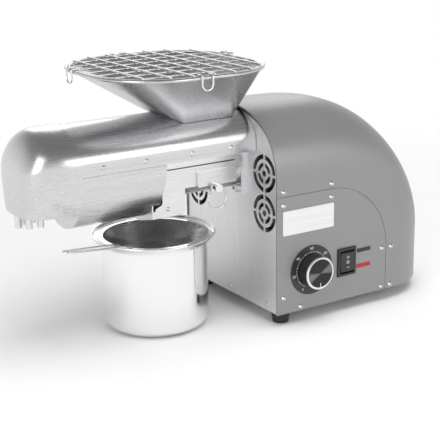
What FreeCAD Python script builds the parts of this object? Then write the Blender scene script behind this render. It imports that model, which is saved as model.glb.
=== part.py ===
import FreeCAD, Part
import math
import os

V = FreeCAD.Vector

# Driving dimensions in millimetres. While drawing, x = 0 is the front of the
# face plate, the press reaches towards -x and the casing towards +x, y = 0 is
# the upright plane through the press axis and z = 0 is the table.
shift_x = 12.0

foot_h = 14.0
foot_r_low = 9.0
foot_r_top = 11.0
foot_front = (15.0, 78.0)
foot_rear = (195.0, 45.0)

body_w = 95.0
body_len = 238.0
rear_r = 75.0
crown_z = 238.8
crown_x = 10.0
tail_z = 20.0
arch_power = 2.35
arch_share = 0.66
sheet = 2.0
lip = 1.5
face_t = 3.0
face_top = 234.1

seam_cx = 71.0
seam_cz = 66.0
seam_r = 81.7
seam_gap = 0.5
tray_t = 2.5
tray_h = 28.0
side_flange = 10.0

screw_r = 1.5
screw_fit = 1.55
head_r = 2.9
head_h = 1.8
cross_long = 1.5
cross_half = 0.4
cross_deep = 0.8
side_screws = [(7.2, 153.1), (72.0, 153.1), (7.2, 138.2), (72.0, 138.2), (146.3, 64.9),
               (159.9, 64.9), (146.3, 18.4), (159.9, 18.4), (7.6, 32.8), (30.4, 18.4)]
face_screws = [-73.6, 0.0, 73.6]
face_screw_z = 22.0

vent_y = 68.9
vent_z = (125.2, 169.8)

name_x = (6.0, 75.0)
name_z = (104.0, 131.5)
dial_x = 45.0
dial_z = 59.0
dial_r = 28.5
knob_r = 18.6
knob_top = 112.0
switch_x = 94.0
switch_z = 59.0
gland_x = 120.0
gland_z = 46.0

axis_z = 182.0
motor_z = 128.0
gear_m = 1.5
gear_n = 58
pinion_n = 14
shaft_r = 8.5

cover_w = 54.0
cover_t = 1.5
cover_top = 236.5
cover_flat = (188.4, 203.0)
cover_low = 128.5
cover_split = 192.5
cover_left = -208.0
cover_right = -0.4
cover_end = (-110.6, -113.6)
cover_screw_x = [-184.0, -135.0, -80.0, -32.0]
cover_screw_z = 200.0
rail_t = 2.0

head_len = 54.0
head_w = 55.5
head_top = 238.0
head_cut = 152.0

sleeve_r = 39.0
sleeve_left = -118.0
flange_t = 8.0
flange_w = 36.0
flange_z = (142.0, 222.0)
block_w = 40.0
block_z = (160.0, 182.0)
barrel_r = 28.0
barrel_bore = 17.2
barrel_left = -214.0
pin_x = -46.5
pin_z = 157.0
pin_r = 3.2
ring_r = 11.5
ring_wire = 0.9

hop_x = -80.5
hop_half = 96.3
hop_corner = 74.0
hop_rim_z = 286.05
hop_rim_r = 2.0
base_x = -48.0
base_half = (31.0, 34.0)
base_z = 228.4
neck_half = 22.0
seat_z = 212.0
wire_r = 0.95
wire_pitch = 24.0
wire_shift = 3.0
wire_out = 3.5
clip_half = 6.25
clip_low = 274.0
clip_bend = 2.0
clip_front = -88.0
clip_side = 25.0

cup_x = -100.5
cup_r = 59.0
cup_t = 1.2
cup_ledge = 102.2


def box(x0, x1, y0, y1, z0, z1):
    return Part.makeBox(x1 - x0, y1 - y0, z1 - z0, V(x0, y0, z0))


def along_x(r, x0, x1, y, z):
    return Part.makeCylinder(r, x1 - x0, V(x0, y, z), V(1, 0, 0))


def along_y(r, y0, y1, x, z):
    return Part.makeCylinder(r, y1 - y0, V(x, y0, z), V(0, 1, 0))


def along_z(r, z0, z1, x, y):
    return Part.makeCylinder(r, z1 - z0, V(x, y, z0), V(0, 0, 1))


def join(shapes):
    body = shapes[0]
    if len(shapes) > 1:
        body = body.multiFuse(shapes[1:])
    return body.removeSplitter()


def cut(body, tools):
    return body.cut(tools).removeSplitter()


def prism_y(points, y0, y1):
    wire = Part.makePolygon([V(x, y0, z) for x, z in points + points[:1]])
    return Part.Face(wire).extrude(V(0, y1 - y0, 0))


def prism_x(points, x0, x1):
    wire = Part.makePolygon([V(x0, y, z) for y, z in points + points[:1]])
    return Part.Face(wire).extrude(V(x1 - x0, 0, 0))


def both_sides(shape):
    return [shape, shape.mirror(V(0, 0, 0), V(0, 1, 0))]


def save(name, shape):
    solids = shape.Solids
    out = solids[0] if len(solids) == 1 else Part.makeCompound(solids)
    out = out.copy()
    out.translate(V(shift_x, 0, 0))
    out.exportStep("parts/" + name + ".step")


# ---------------------------------------------------------------- the casing
def plan_half_width(x, inset):
    centre = body_len - rear_r
    if x <= centre:
        return body_w - inset
    r = rear_r - inset
    return body_w - rear_r + math.sqrt(max(r * r - (x - centre) ** 2, 60.0))


def crown(x, inset):
    u = max(0.0, (x - crown_x) / (body_len - inset - crown_x))
    return tail_z + (crown_z - inset - tail_z) * max(1.0 - u ** 4.2, 0.006) ** 0.787


def arch_wire(x, w, top, z0):
    spring = foot_h + (top - foot_h) * arch_share
    pts = []
    for i in range(17):
        a = math.pi * i / 16.0
        c = math.cos(a)
        y = w * math.copysign(abs(c) ** (2.0 / arch_power), c)
        z = spring + (top - spring) * abs(math.sin(a)) ** (2.0 / arch_power)
        pts.append(V(x, y, z))
    curve = Part.BSplineCurve()
    curve.interpolate(pts)
    low_l = V(x, -w, z0)
    low_r = V(x, w, z0)
    edges = [curve.toShape(), Part.makeLine(pts[-1], low_l)]
    edges.append(Part.makeLine(low_l, low_r))
    edges.append(Part.makeLine(low_r, pts[0]))
    return Part.Wire(edges)


def helmet(inset, x0, z0):
    centre = body_len - rear_r
    front = [x0, 35.0, 70.0, 105.0, 135.0, centre]
    reach = rear_r - inset
    rear = [centre]
    for f in (0.10, 0.22, 0.36, 0.50, 0.63, 0.745, 0.84, 0.91, 0.955, 0.982, 1.0):
        rear.append(centre + reach * f)
    parts = []
    for stations in (front, rear):
        wires = []
        for x in stations:
            wires.append(arch_wire(x, plan_half_width(x, inset), crown(x, inset), z0))
        parts.append(Part.makeLoft(wires, True, False))
    return parts[0].fuse(parts[1])


def seam_prism(x0, z0, grow, y0, y1):
    top = seam_cz + seam_r + grow
    right = seam_cx + seam_r + grow
    diag = (seam_r + grow) * math.sqrt(0.5)
    pts = [V(x0, y0, z0), V(x0, y0, top), V(seam_cx, y0, top)]
    mid = V(seam_cx + diag, y0, seam_cz + diag)
    low = V(right, y0, seam_cz)
    corner = V(right, y0, z0)
    edges = [Part.makeLine(pts[0], pts[1]), Part.makeLine(pts[1], pts[2])]
    edges.append(Part.Arc(pts[2], mid, low).toShape())
    edges.append(Part.makeLine(low, corner))
    edges.append(Part.makeLine(corner, pts[0]))
    return Part.Face(Part.Wire(edges)).extrude(V(0, y1 - y0, 0))


def screw_holes(y_sign, r):
    y0, y1 = (-97.0, -86.0) if y_sign < 0 else (86.0, 97.0)
    return [along_y(r, y0, y1, x, z) for x, z in side_screws]


def make_shell():
    outer = helmet(0.0, -lip, foot_h)
    inner = helmet(sheet, -lip - 5.0, foot_h - 4.0)
    shell = outer.cut(inner)
    tools = []
    for s in (-1, 1):
        y0, y1 = (-97.0, -92.0) if s < 0 else (92.0, 97.0)
        tools.append(seam_prism(-8.0, foot_h - 1.0, 0.0, y0, y1))
        tools.extend(screw_holes(s, screw_fit))
    return cut(shell, tools)


def side_panel(s):
    y0, y1 = (-body_w, -body_w + sheet) if s < 0 else (body_w - sheet, body_w)
    panel = seam_prism(-lip, foot_h, -seam_gap, y0, y1)
    tools = screw_holes(s, screw_fit)
    if s < 0:
        tools.append(along_y(4.5, -97.0, -90.0, dial_x, dial_z))
        tools.append(box(switch_x - 11.2, switch_x + 11.2, -97.0, -90.0,
                         switch_z - 14.7, switch_z + 14.7))
    else:
        tools.append(along_y(7.05, 90.0, 97.0, gland_x, gland_z))
    return cut(panel, tools)


def side_frame(s):
    w = body_w - sheet
    y0, y1 = (-w, -w + 2.0) if s < 0 else (w - 2.0, w)
    x0 = face_t + side_flange + 0.2
    z0 = tray_h + 0.2
    band = seam_prism(x0, z0, 8.5, y0, y1)
    hollow = seam_prism(x0 - 5.0, z0 - 5.0, -12.0, y0 - 1.0, y1 + 1.0)
    return cut(band, [hollow] + screw_holes(s, screw_fit))


def vent_tools(y, z):
    tools = []
    for r_out, r_in in ((21.0, 15.8), (11.8, 7.4)):
        ring = along_x(r_out, -1.0, face_t + 1.0, y, z)
        ring = ring.cut(along_x(r_in, -2.0, face_t + 2.0, y, z))
        ribs = [box(-2.0, face_t + 2.0, y - 1.5, y + 1.5, z - 30.0, z + 30.0)]
        ribs.append(box(-2.0, face_t + 2.0, y - 30.0, y + 30.0, z - 1.5, z + 1.5))
        tools.append(ring.cut(Part.makeCompound(ribs)))
    tools.append(along_x(3.4, -1.0, face_t + 1.0, y, z))
    return tools


def flange_bolt_spots():
    return [(y, z) for y in (-29.5, 29.5) for z in (147.6, 216.0)]


def make_face():
    w = body_w - sheet
    plate = Part.Face(arch_wire(0.0, w - 0.1, face_top, foot_h)).extrude(V(face_t, 0, 0))
    wings = []
    for s in (-1, 1):
        y0, y1 = (-w, -w + 2.0) if s < 0 else (w - 2.0, w)
        wings.append(box(face_t - 1.0, face_t + side_flange, y0, y1, tray_h + 0.2, 163.0))
    tools = [along_x(20.0, -1.0, face_t + 1.0, 0.0, axis_z)]
    for s in (-1, 1):
        for z in vent_z:
            tools.extend(vent_tools(s * vent_y, z))
        tools.extend(screw_holes(s, screw_fit))
    for y, z in flange_bolt_spots():
        tools.append(along_x(3.05, -1.0, face_t + 1.0, y, z))
    for y in face_screws:
        tools.append(along_x(screw_fit, -1.0, face_t + 1.0, y, face_screw_z))
    return cut(join([plate] + wings), tools)


def plan_slab(inset, x0, z0, z1):
    centre = body_len - rear_r
    r = rear_r - inset
    y_c = body_w - rear_r
    slabs = [box(x0, centre, -y_c - r, y_c + r, z0, z1)]
    slabs.append(box(centre - 1.0, centre + r, -y_c, y_c, z0, z1))
    for s in (-1, 1):
        slabs.append(along_z(r, z0, z1, centre, s * y_c))
    return join(slabs)


def make_tray():
    w = body_w - sheet
    x0 = face_t
    outer = join([plan_slab(sheet + 0.4, x0, foot_h, tray_h),
                  box(x0, body_len - rear_r, -w, w, foot_h, tray_h)])
    hollow = plan_slab(sheet + 2.4, x0 + 2.0, foot_h + tray_t, tray_h + 5.0)
    tools = [hollow, box(200.0, 260.0, -100.0, 100.0, 20.0, tray_h + 5.0)]
    for s in (-1, 1):
        tools.extend(screw_holes(s, screw_fit))
        for x, y in (foot_front, foot_rear):
            tools.append(along_z(2.05, foot_h - 1.0, foot_h + 10.0, x, s * y))
    for y in face_screws:
        tools.append(along_x(screw_fit, 0.0, 12.0, y, face_screw_z))
    return cut(outer, tools)


def make_feet():
    feet = []
    screws = []
    for x, y in (foot_front, foot_rear):
        for s in (-1, 1):
            foot = Part.makeCone(foot_r_low, foot_r_top, foot_h, V(x, s * y, 0.0))
            foot = foot.cut(along_z(5.0, -1.0, 4.0, x, s * y))
            feet.append(foot.cut(along_z(2.05, 3.0, foot_h + 1.0, x, s * y)))
            top = foot_h + tray_t
            screw = join([along_z(2.0, 5.0, top + 1.0, x, s * y),
                          along_z(4.0, top, top + 2.4, x, s * y)])
            screws.append(screw)
    return Part.makeCompound(feet), Part.makeCompound(screws)


def pan_screw(length):
    shank = along_z(screw_r, -length, 0.5, 0.0, 0.0)
    dome = Part.makeCone(head_r, head_r * 0.62, head_h, V(0, 0, 0))
    low, top = head_h - cross_deep, head_h + 1.0
    drive = join([box(-cross_long, cross_long, -cross_half, cross_half, low, top),
                  box(-cross_half, cross_half, -cross_long, cross_long, low, top)])
    return join([shank, dome]).cut(drive)


def placed(shape, pos, towards):
    turned = shape.copy()
    turned.Placement = FreeCAD.Placement(V(*pos), FreeCAD.Rotation(V(0, 0, 1), V(*towards)))
    return turned


def make_housing_screws():
    screw = pan_screw(4.4)
    out = []
    for x, z in side_screws:
        out.append(placed(screw, (x, -body_w, z), (0, -1, 0)))
        out.append(placed(screw, (x, body_w, z), (0, 1, 0)))
    for y in face_screws:
        out.append(placed(screw, (0.0, y, face_screw_z), (-1, 0, 0)))
    return Part.makeCompound(out)


# ------------------------------------------------- controls on the near panel
def make_nameplate():
    plate = box(name_x[0], name_x[1], -body_w - 0.6, -body_w, name_z[0], name_z[1])
    edges = [e for e in plate.Edges if abs(e.tangentAt(e.FirstParameter).y) > 0.9]
    return plate.makeFillet(1.5, edges)


def make_dial():
    return along_y(dial_r, -body_w - 0.6, -body_w, dial_x, dial_z).cut(
        along_y(4.6, -body_w - 2.0, -body_w + 2.0, dial_x, dial_z))


def make_pot():
    body = join([along_y(12.0, -body_w + sheet, -83.0, dial_x, dial_z),
                 along_y(4.4, -body_w - 0.3, -90.0, dial_x, dial_z)])
    return body.cut(along_y(3.05, -100.0, -86.0, dial_x, dial_z))


def make_knob():
    y0 = -body_w - 1.0
    body = Part.makeCone(knob_r - 0.9, knob_r - 0.2, knob_top - 2.0 + y0,
                         V(dial_x, y0, dial_z), V(0, -1, 0))
    grips = []
    for i in range(24):
        a = math.radians(15.0 * i)
        x = dial_x + (knob_r - 0.1) * math.cos(a)
        z = dial_z + (knob_r - 0.1) * math.sin(a)
        grips.append(along_y(0.6, -108.5, -98.0, x, z))
    body = cut(body, grips + [along_y(3.0, -106.0, -90.0, dial_x, dial_z)])
    ring = Part.makeCone(knob_r - 0.2, knob_r, 1.0, V(dial_x, -knob_top + 2.0, dial_z), V(0, -1, 0))
    top = Part.makeCone(knob_r, knob_r - 1.0, 1.0, V(dial_x, -knob_top + 1.0, dial_z), V(0, -1, 0))
    dish = along_y(knob_r - 1.9, -knob_top - 1.0, -knob_top + 0.4, dial_x, dial_z)
    cap = cut(join([ring, top]), [dish])
    shaft = along_y(3.0, -106.0, -87.0, dial_x, dial_z)
    return body, cap, shaft


def make_switch():
    x, z = switch_x, switch_z
    bezel = box(x - 12.8, x + 12.8, -body_w - 2.4, -body_w, z - 16.5, z + 16.5)
    edges = [e for e in bezel.Edges if abs(e.BoundBox.YMin + body_w + 2.4) < 0.01
             and e.BoundBox.YLength < 0.01]
    bezel = bezel.makeChamfer(0.8, edges)
    neck = box(x - 11.0, x + 11.0, -body_w - 0.5, -76.0, z - 14.5, z + 14.5)
    housing = join([bezel, neck])
    hollow = box(x - 10.0, x + 10.0, -100.0, -80.0, z - 13.6, z + 13.6)
    pins = []
    for s in (-1, 1):
        pins.append(Part.makeCylinder(1.2, 2.0, V(x + s * 10.5, -91.0, z), V(-s, 0, 0)))
    housing = join([cut(housing, [hollow])] + pins)
    roller = along_x(13.2, x - 9.6, x + 9.6, -91.0, z)
    slab = box(x - 9.6, x + 9.6, -98.6, -88.0, z - 20.0, z + 20.0)
    rocker = roller.common(slab)
    saddle = Part.makeCylinder(60.0, 30.0, V(x - 15.0, -98.0 - 59.6, z), V(1, 0, 0))
    holes = []
    for s in (-1, 1):
        holes.append(Part.makeCylinder(1.25, 3.0, V(x + s * 10.5, -91.0, z), V(-s, 0, 0)))
    return housing, cut(rocker, [saddle] + holes)


def make_labels():
    low = box(109.2, 128.8, -body_w - 0.4, -body_w, 47.9, 52.5)
    high = box(109.2, 128.8, -body_w - 0.4, -body_w, 66.4, 71.0)
    return Part.makeCompound([low, high])


def hexagon(r, x0, x1):
    pts = [(r * math.cos(math.radians(60 * i)), r * math.sin(math.radians(60 * i)))
           for i in range(6)]
    return prism_x(pts, x0, x1)


def make_gland():
    nut = hexagon(11.5, 0.0, 6.0)
    dome = Part.makeCone(9.2, 7.4, 7.0, V(6.0, 0, 0), V(1, 0, 0))
    mouth = along_x(6.0, 12.0, knob_top - body_w, 0.0, 0.0)
    stem = along_x(7.0, -6.0, 1.0, 0.0, 0.0)
    gland = join([nut, dome, mouth, stem])
    gland = gland.cut(along_x(3.5, -8.0, 20.0, 0.0, 0.0))
    lock = hexagon(10.5, -6.0, -2.0).cut(along_x(7.0, -7.0, 0.0, 0.0, 0.0))
    gland = join([gland, lock])
    gland.rotate(V(0, 0, 0), V(0, 0, 1), 90)
    gland.translate(V(gland_x, body_w, gland_z))
    return gland


# ------------------------------------------------------------- the drive unit
def hull_prism(ra, rb, x0, x1):
    gap = axis_z - motor_z
    nz = (ra - rb) / gap
    ny = math.sqrt(1.0 - nz * nz)
    quad = [(ra * ny, axis_z + ra * nz), (rb * ny, motor_z + rb * nz),
            (-rb * ny, motor_z + rb * nz), (-ra * ny, axis_z + ra * nz)]
    parts = [prism_x(quad, x0, x1)]
    parts.append(along_x(ra, x0, x1, 0.0, axis_z))
    parts.append(along_x(rb, x0, x1, 0.0, motor_z))
    return join(parts)


def make_gearbox():
    case = hull_prism(49.0, 30.0, face_t, 46.0)
    case = case.cut(hull_prism(46.0, 26.5, face_t + 6.0, 50.0))
    case = join([case, along_x(19.0, face_t, 13.0, 0.0, axis_z)])
    tools = [box(0.0, 60.0, -60.0, 60.0, 90.0, 100.0)]
    tools.append(along_x(15.02, 0.0, 14.0, 0.0, axis_z))
    for y, z in flange_bolt_spots():
        tools.append(along_x(3.0, 0.0, 7.0, y, z))
    case = cut(case, tools)
    lid = hull_prism(49.0, 30.0, 46.0, 51.0)
    lid = join([lid, along_x(19.0, 40.0, 47.0, 0.0, axis_z)])
    tools = [box(0.0, 60.0, -60.0, 60.0, 90.0, 100.0)]
    tools.append(along_x(15.02, 39.0, 49.0, 0.0, axis_z))
    tools.append(along_x(4.05, 40.0, 60.0, 0.0, motor_z))
    return case, cut(lid, tools)


def make_stand():
    x0, x1 = 6.0, 44.0
    z0 = foot_h + tray_t
    parts = [box(x0, x1, -30.0, 30.0, z0, z0 + 4.0), box(x0, x1, -30.0, 30.0, 96.0, 100.0)]
    for s in (-1, 1):
        parts.append(box(x0, x1, min(s * 26.0, s * 30.0), max(s * 26.0, s * 30.0), z0, 100.0))
    stand = join(parts)
    bolts = []
    for x in (14.0, 36.0):
        for y in (-16.0, 16.0):
            bolts.append(along_z(4.0, z0 + 4.0, z0 + 8.0, x, y))
    return stand, Part.makeCompound(bolts)


def gear_blank(n, x0, x1, z, phase):
    r = gear_m * n / 2.0
    tip = r + 0.8 * gear_m
    root = r - 1.15 * gear_m
    step = 2.0 * math.pi / n
    pts = []
    for i in range(n):
        a = phase + i * step
        for radius, half in ((root, 0.29), (tip, 0.11)):
            pts.append((radius, a - half * step))
        for radius, half in ((tip, 0.11), (root, 0.29)):
            pts.append((radius, a + half * step))
    flat = [(q * math.cos(a), z + q * math.sin(a)) for q, a in pts]
    return prism_x(flat, x0, x1)


def make_gears():
    down = -math.pi / 2.0
    half = math.pi / gear_n
    big = gear_blank(gear_n, 20.0, 34.0, axis_z, down + half)
    holes = [along_x(shaft_r + 0.02, 15.0, 40.0, 0.0, axis_z)]
    for i in range(6):
        a = math.radians(60 * i)
        y = 26.0 * math.cos(a)
        z = axis_z + 26.0 * math.sin(a)
        holes.append(along_x(8.0, 15.0, 40.0, y, z))
    big = cut(big, holes)
    small = gear_blank(pinion_n, 18.5, 35.5, motor_z, math.pi / 2.0)
    small = small.cut(along_x(4.02, 15.0, 40.0, 0.0, motor_z))
    return big, small


def make_shaft():
    shaft = along_x(shaft_r, -14.0, 47.0, 0.0, axis_z)
    shaft = join([shaft, along_x(11.5, 14.0, 20.0, 0.0, axis_z)])
    socket = box(-15.0, -2.0, -5.05, 5.05, axis_z - 5.05, axis_z + 5.05)
    return shaft.cut(socket)


def make_bearings():
    out = []
    for x0 in (3.5, 40.0):
        ring = along_x(15.0, x0, x0 + 8.5, 0.0, axis_z)
        ring = ring.cut(along_x(shaft_r + 0.04, x0 - 1.0, x0 + 10.0, 0.0, axis_z))
        for side in (x0 - 0.01, x0 + 7.9):
            groove = along_x(13.2, side, side + 0.6, 0.0, axis_z)
            groove = groove.cut(along_x(10.3, side - 1.0, side + 2.0, 0.0, axis_z))
            ring = ring.cut(groove)
        out.append(ring)
    return Part.makeCompound(out)


def make_motor():
    z = motor_z
    can = along_x(38.0, 51.0, 150.0, 0.0, z).cut(along_x(35.0, 56.0, 151.0, 0.0, z))
    can = can.cut(along_x(4.05, 50.0, 60.0, 0.0, z))
    bell = along_x(37.0, 150.0, 159.0, 0.0, z).cut(along_x(34.0, 149.0, 155.0, 0.0, z))
    slots = [along_x(4.05, 149.0, 160.0, 0.0, z)]
    for i in range(8):
        a = math.radians(45 * i + 22.5)
        slots.append(along_x(5.0, 150.0, 160.0, 24.0 * math.cos(a), z + 24.0 * math.sin(a)))
    bell = cut(bell, slots)
    rotor = join([along_x(4.0, 18.0, 158.0, 0.0, z), along_x(33.5, 64.0, 126.0, 0.0, z),
                  along_x(14.0, 126.0, 142.0, 0.0, z)])
    return can, bell, rotor


def make_board():
    x0, x1 = 62.0, 166.0
    z = foot_h + tray_t + 9.5
    board = [box(x0, x1, -36.0, 36.0, z, z + 1.6)]
    for x in (x0 + 6.0, x1 - 6.0):
        for y in (-30.0, 30.0):
            board.append(along_z(3.0, foot_h + tray_t, z, x, y))
    fins = [box(x0 + 14.0, x0 + 54.0, 8.0, 34.0, z + 1.6, z + 5.0)]
    for i in range(7):
        y = 8.0 + i * 4.0
        fins.append(box(x0 + 14.0, x0 + 54.0, y, y + 1.6, z + 4.0, z + 26.0))
    top = z + 1.6
    bits = [along_z(11.0, top, top + 34.0, x0 + 30.0, -18.0)]
    bits.append(box(x0 + 52.0, x0 + 76.0, -30.0, -12.0, top, top + 16.0))
    bits.append(box(x0 + 66.0, x0 + 92.0, 6.0, 28.0, top, top + 20.0))
    bits.append(box(x0 + 84.0, x0 + 98.0, -30.0, -6.0, top, top + 12.0))
    return join(board), join(fins), Part.makeCompound(bits)


def make_fan(s):
    y, z = s * vent_y, vent_z[0]
    x0 = face_t
    frame = box(x0, x0 + 13.0, y - 20.0, y + 20.0, z - 20.0, z + 20.0)
    frame = frame.cut(along_x(18.6, x0 - 1.0, x0 + 20.0, y, z))
    extra = [along_x(8.0, x0 + 11.0, x0 + 13.0, y, z), along_x(1.5, x0 + 3.0, x0 + 12.0, y, z)]
    for i in range(3):
        strut = box(x0 + 11.0, x0 + 13.0, y - 1.2, y + 1.2, z, z + 19.5)
        strut.rotate(V(0, y, z), V(1, 0, 0), 120 * i)
        extra.append(strut)
    frame = join([frame] + extra)
    hub = along_x(7.5, x0 + 1.5, x0 + 10.4, y, z)
    blades = [hub]
    for i in range(5):
        blade = box(-4.6, 4.6, -0.5, 0.5, 6.5, 17.8)
        blade.rotate(V(0, 0, 0), V(0, 0, 1), 40)
        blade.translate(V(x0 + 6.0, y, z))
        blade.rotate(V(0, y, z), V(1, 0, 0), 72 * i)
        blades.append(blade)
    rotor = join(blades)
    keep = along_x(18.0, x0 + 1.5, x0 + 10.6, y, z)
    rotor = rotor.common(keep).cut(along_x(1.55, x0 + 2.5, x0 + 12.0, y, z))
    return frame, rotor


# ----------------------------------------------------------- the press itself
def make_holder():
    right = -flange_t
    parts = [box(-flange_t, 0.0, -flange_w, flange_w, flange_z[0], flange_z[1])]
    parts.append(along_x(sleeve_r, sleeve_left, right + 1.0, 0.0, axis_z))
    w, (z0, z1) = block_w, block_z
    sect = [(-w, z0), (w, z0), (w, z1), (w - 8.0, z1 + 8.0), (-w + 8.0, z1 + 8.0), (-w, z1)]
    parts.append(prism_x(sect, sleeve_left, -19.0))
    for s in (-1, 1):
        y0, y1 = sorted((s * (w - 1.0), s * (w + 3.0)))
        parts.append(box(-68.0, -19.0, y0, y1, z0 - 1.0, 175.5))
    parts.append(along_y(6.2, -w - 3.0, -24.0, pin_x, pin_z))
    holder = join(parts)
    tools = [along_x(barrel_r + 0.05, sleeve_left - 1.0, -14.0, 0.0, axis_z)]
    tools.append(along_x(shaft_r + 1.5, -20.0, 1.0, 0.0, axis_z))
    tools.append(box(sleeve_left - 1.0, right, -60.0, 60.0, seat_z, 240.0))
    tools.append(box(base_x - 17.0, base_x + 17.0, -14.0, 14.0, axis_z, 240.0))
    tools.append(box(-112.0, -88.0, -20.0, 20.0, 130.0, 165.0))
    tools.append(along_y(pin_r + 0.05, -60.0, 45.0, pin_x, pin_z))
    for y, z in flange_bolt_spots():
        tools.append(along_x(3.05, -20.0, 1.0, y, z))
        tools.append(along_x(5.6, -20.0, -flange_t, y, z))
    return cut(holder, tools)


def make_flange_bolts():
    out = []
    for y, z in flange_bolt_spots():
        head = along_x(5.0, -flange_t - 6.0, -flange_t, y, z)
        shank = along_x(2.95, -flange_t - 1.0, 6.9, y, z)
        key = prism_x([(2.6 * math.cos(math.radians(60 * i)), 2.6 * math.sin(math.radians(60 * i)))
                       for i in range(6)], -flange_t - 7.0, -flange_t - 3.0)
        key.translate(V(0, y, z))
        out.append(join([head, shank]).cut(key))
    return Part.makeCompound(out)


def make_barrel():
    tube = along_x(barrel_r, barrel_left, -14.0, 0.0, axis_z)
    tools = [along_x(barrel_bore, barrel_left - 1.0, 0.0, 0.0, axis_z)]
    tools.append(box(base_x - 17.0, base_x + 17.0, -12.0, 12.0, axis_z, 230.0))
    tools.append(along_y(pin_r + 0.1, -45.0, 45.0, pin_x, pin_z))
    for i in range(5):
        slot = box(-110.0, -90.0, -0.6, 0.6, axis_z - 40.0, axis_z - 10.0)
        slot.rotate(V(0, 0, axis_z), V(1, 0, 0), -50 + 25 * i)
        tools.append(slot)
    return cut(tube, tools)


def make_auger():
    length = 180.0
    pitch = 24.0
    helix = Part.makeHelix(pitch, length, 12.0)
    pts = [V(9.0, 0, -3.0), V(16.8, 0, -1.4), V(16.8, 0, 1.4), V(9.0, 0, 3.0), V(9.0, 0, -3.0)]
    profile = Part.makePolygon(pts)
    flight = Part.Wire(helix).makePipeShell([profile], True, True)
    flight.rotate(V(0, 0, 0), V(0, 1, 0), -90)
    flight.translate(V(-22.0, 0, axis_z))
    core = along_x(11.0, -206.0, -14.6, 0.0, axis_z)
    tip = Part.makeCone(11.0, 8.0, 20.0, V(-205.5, 0, axis_z), V(-1, 0, 0))
    tail = box(-15.0, -3.0, -5.0, 5.0, axis_z - 5.0, axis_z + 5.0)
    return join([core, flight, tip, tail])


def make_die_nut():
    x0, x1 = barrel_left - 14.0, barrel_left
    nut = along_x(24.0, x0, x1, 0.0, axis_z)
    bore = Part.makeCone(17.0, 13.5, x1 - x0 + 0.2, V(x1 + 0.1, 0, axis_z), V(-1, 0, 0))
    tools = [bore]
    for i in range(6):
        a = math.radians(60 * i)
        tools.append(along_x(4.0, x0 - 1.0, x0 + 9.0, 25.0 * math.cos(a),
                             axis_z + 25.0 * math.sin(a)))
    return cut(nut, tools)


def make_heater():
    x0, x1 = -196.0, -158.0
    band = along_x(31.5, x0, x1, 0.0, axis_z)
    ears = box(x0 + 4.0, x1 - 4.0, -5.0, 5.0, axis_z + 30.0, axis_z + 40.0)
    band = join([band, ears])
    tools = [along_x(barrel_r + 0.04, x0 - 1.0, x1 + 1.0, 0.0, axis_z)]
    tools.append(box(x0 - 1.0, x1 + 1.0, -1.6, 1.6, axis_z, axis_z + 50.0))
    tools.append(along_y(1.7, -8.0, 8.0, -177.0, axis_z + 36.0))
    return cut(band, tools)


def half_ellipse(x, w, z_base, reach, y_sign):
    """Half an ellipse in the plane x, from y = w * y_sign over to the other side."""
    y = w * y_sign
    z = z_base + reach
    poles = [V(x, y, z_base), V(x, y, z), V(x, 0, z), V(x, -y, z), V(x, -y, z_base)]
    q = math.sqrt(0.5)
    curve = Part.BSplineCurve()
    curve.buildFromPolesMultsKnots(poles, [3, 2, 3], [0.0, 0.5, 1.0], False, 2,
                                   [1.0, q, 1.0, q, 1.0])
    return curve.toShape(), poles[0], poles[-1]


def arch_curve(x, w, z_base, top):
    return half_ellipse(x, w, z_base, top - z_base, 1)


def belly_curve(x, w, z_base, low):
    return half_ellipse(x, w, z_base, low - z_base, -1)


def egg_wire(x, inset):
    w = cover_w - inset
    arch, a0, a1 = arch_curve(x, w, cover_flat[1], cover_top - inset)
    belly, b0, b1 = belly_curve(x, w, cover_flat[0], cover_low + inset)
    return Part.Wire([arch, Part.makeLine(a1, b0), belly, Part.makeLine(b1, a0)])


def egg(x0, x1, inset):
    return Part.Face(egg_wire(x0, inset)).extrude(V(x1 - x0, 0, 0))


def rect_wire(cx, hx, hy, r, z):
    q = math.sqrt(0.5)
    edges = []
    corners = [(1, 1), (-1, 1), (-1, -1), (1, -1)]
    ends = []
    for sx, sy in corners:
        x_c = cx + sx * (hx - r)
        y_c = sy * (hy - r)
        side_x = V(x_c + sx * r, y_c, z)
        side_y = V(x_c, y_c + sy * r, z)
        mid = V(x_c + sx * r * q, y_c + sy * r * q, z)
        first, last = (side_x, side_y) if sx * sy > 0 else (side_y, side_x)
        ends.append((first, mid, last))
    for i in range(4):
        first, mid, last = ends[i]
        edges.append(Part.Arc(first, mid, last).toShape())
        edges.append(Part.makeLine(last, ends[(i + 1) % 4][0]))
    return Part.Wire(edges)


def funnel(grow, z_low, z_high):
    """Straight-sided funnel between the small base and the wide rounded mouth."""
    wires = []
    for z in (z_low, z_high):
        f = (z - base_z) / (hop_rim_z - base_z)
        cx = base_x + (hop_x - base_x) * f
        hx = base_half[0] + (hop_half - base_half[0]) * f + grow
        hy = base_half[1] + (hop_half - base_half[1]) * f + grow
        r = 3.0 + (hop_corner - 3.0) * f + grow
        wires.append(rect_wire(cx, hx, hy, max(r, 0.8), z))
    return Part.makeLoft(wires, True, True)


def throat(grow):
    low = rect_wire(base_x, neck_half + grow, neck_half + grow, 3.0 + grow, 219.0)
    high = rect_wire(base_x, base_half[0] + grow, base_half[1] + grow, 3.0 + grow, base_z)
    cone = Part.makeLoft([low, high], True, True)
    foot = Part.Face(rect_wire(base_x, neck_half + grow, neck_half + grow, 3.0 + grow, seat_z))
    return cone.fuse(foot.extrude(V(0, 0, 219.0 - seat_z)))


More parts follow.
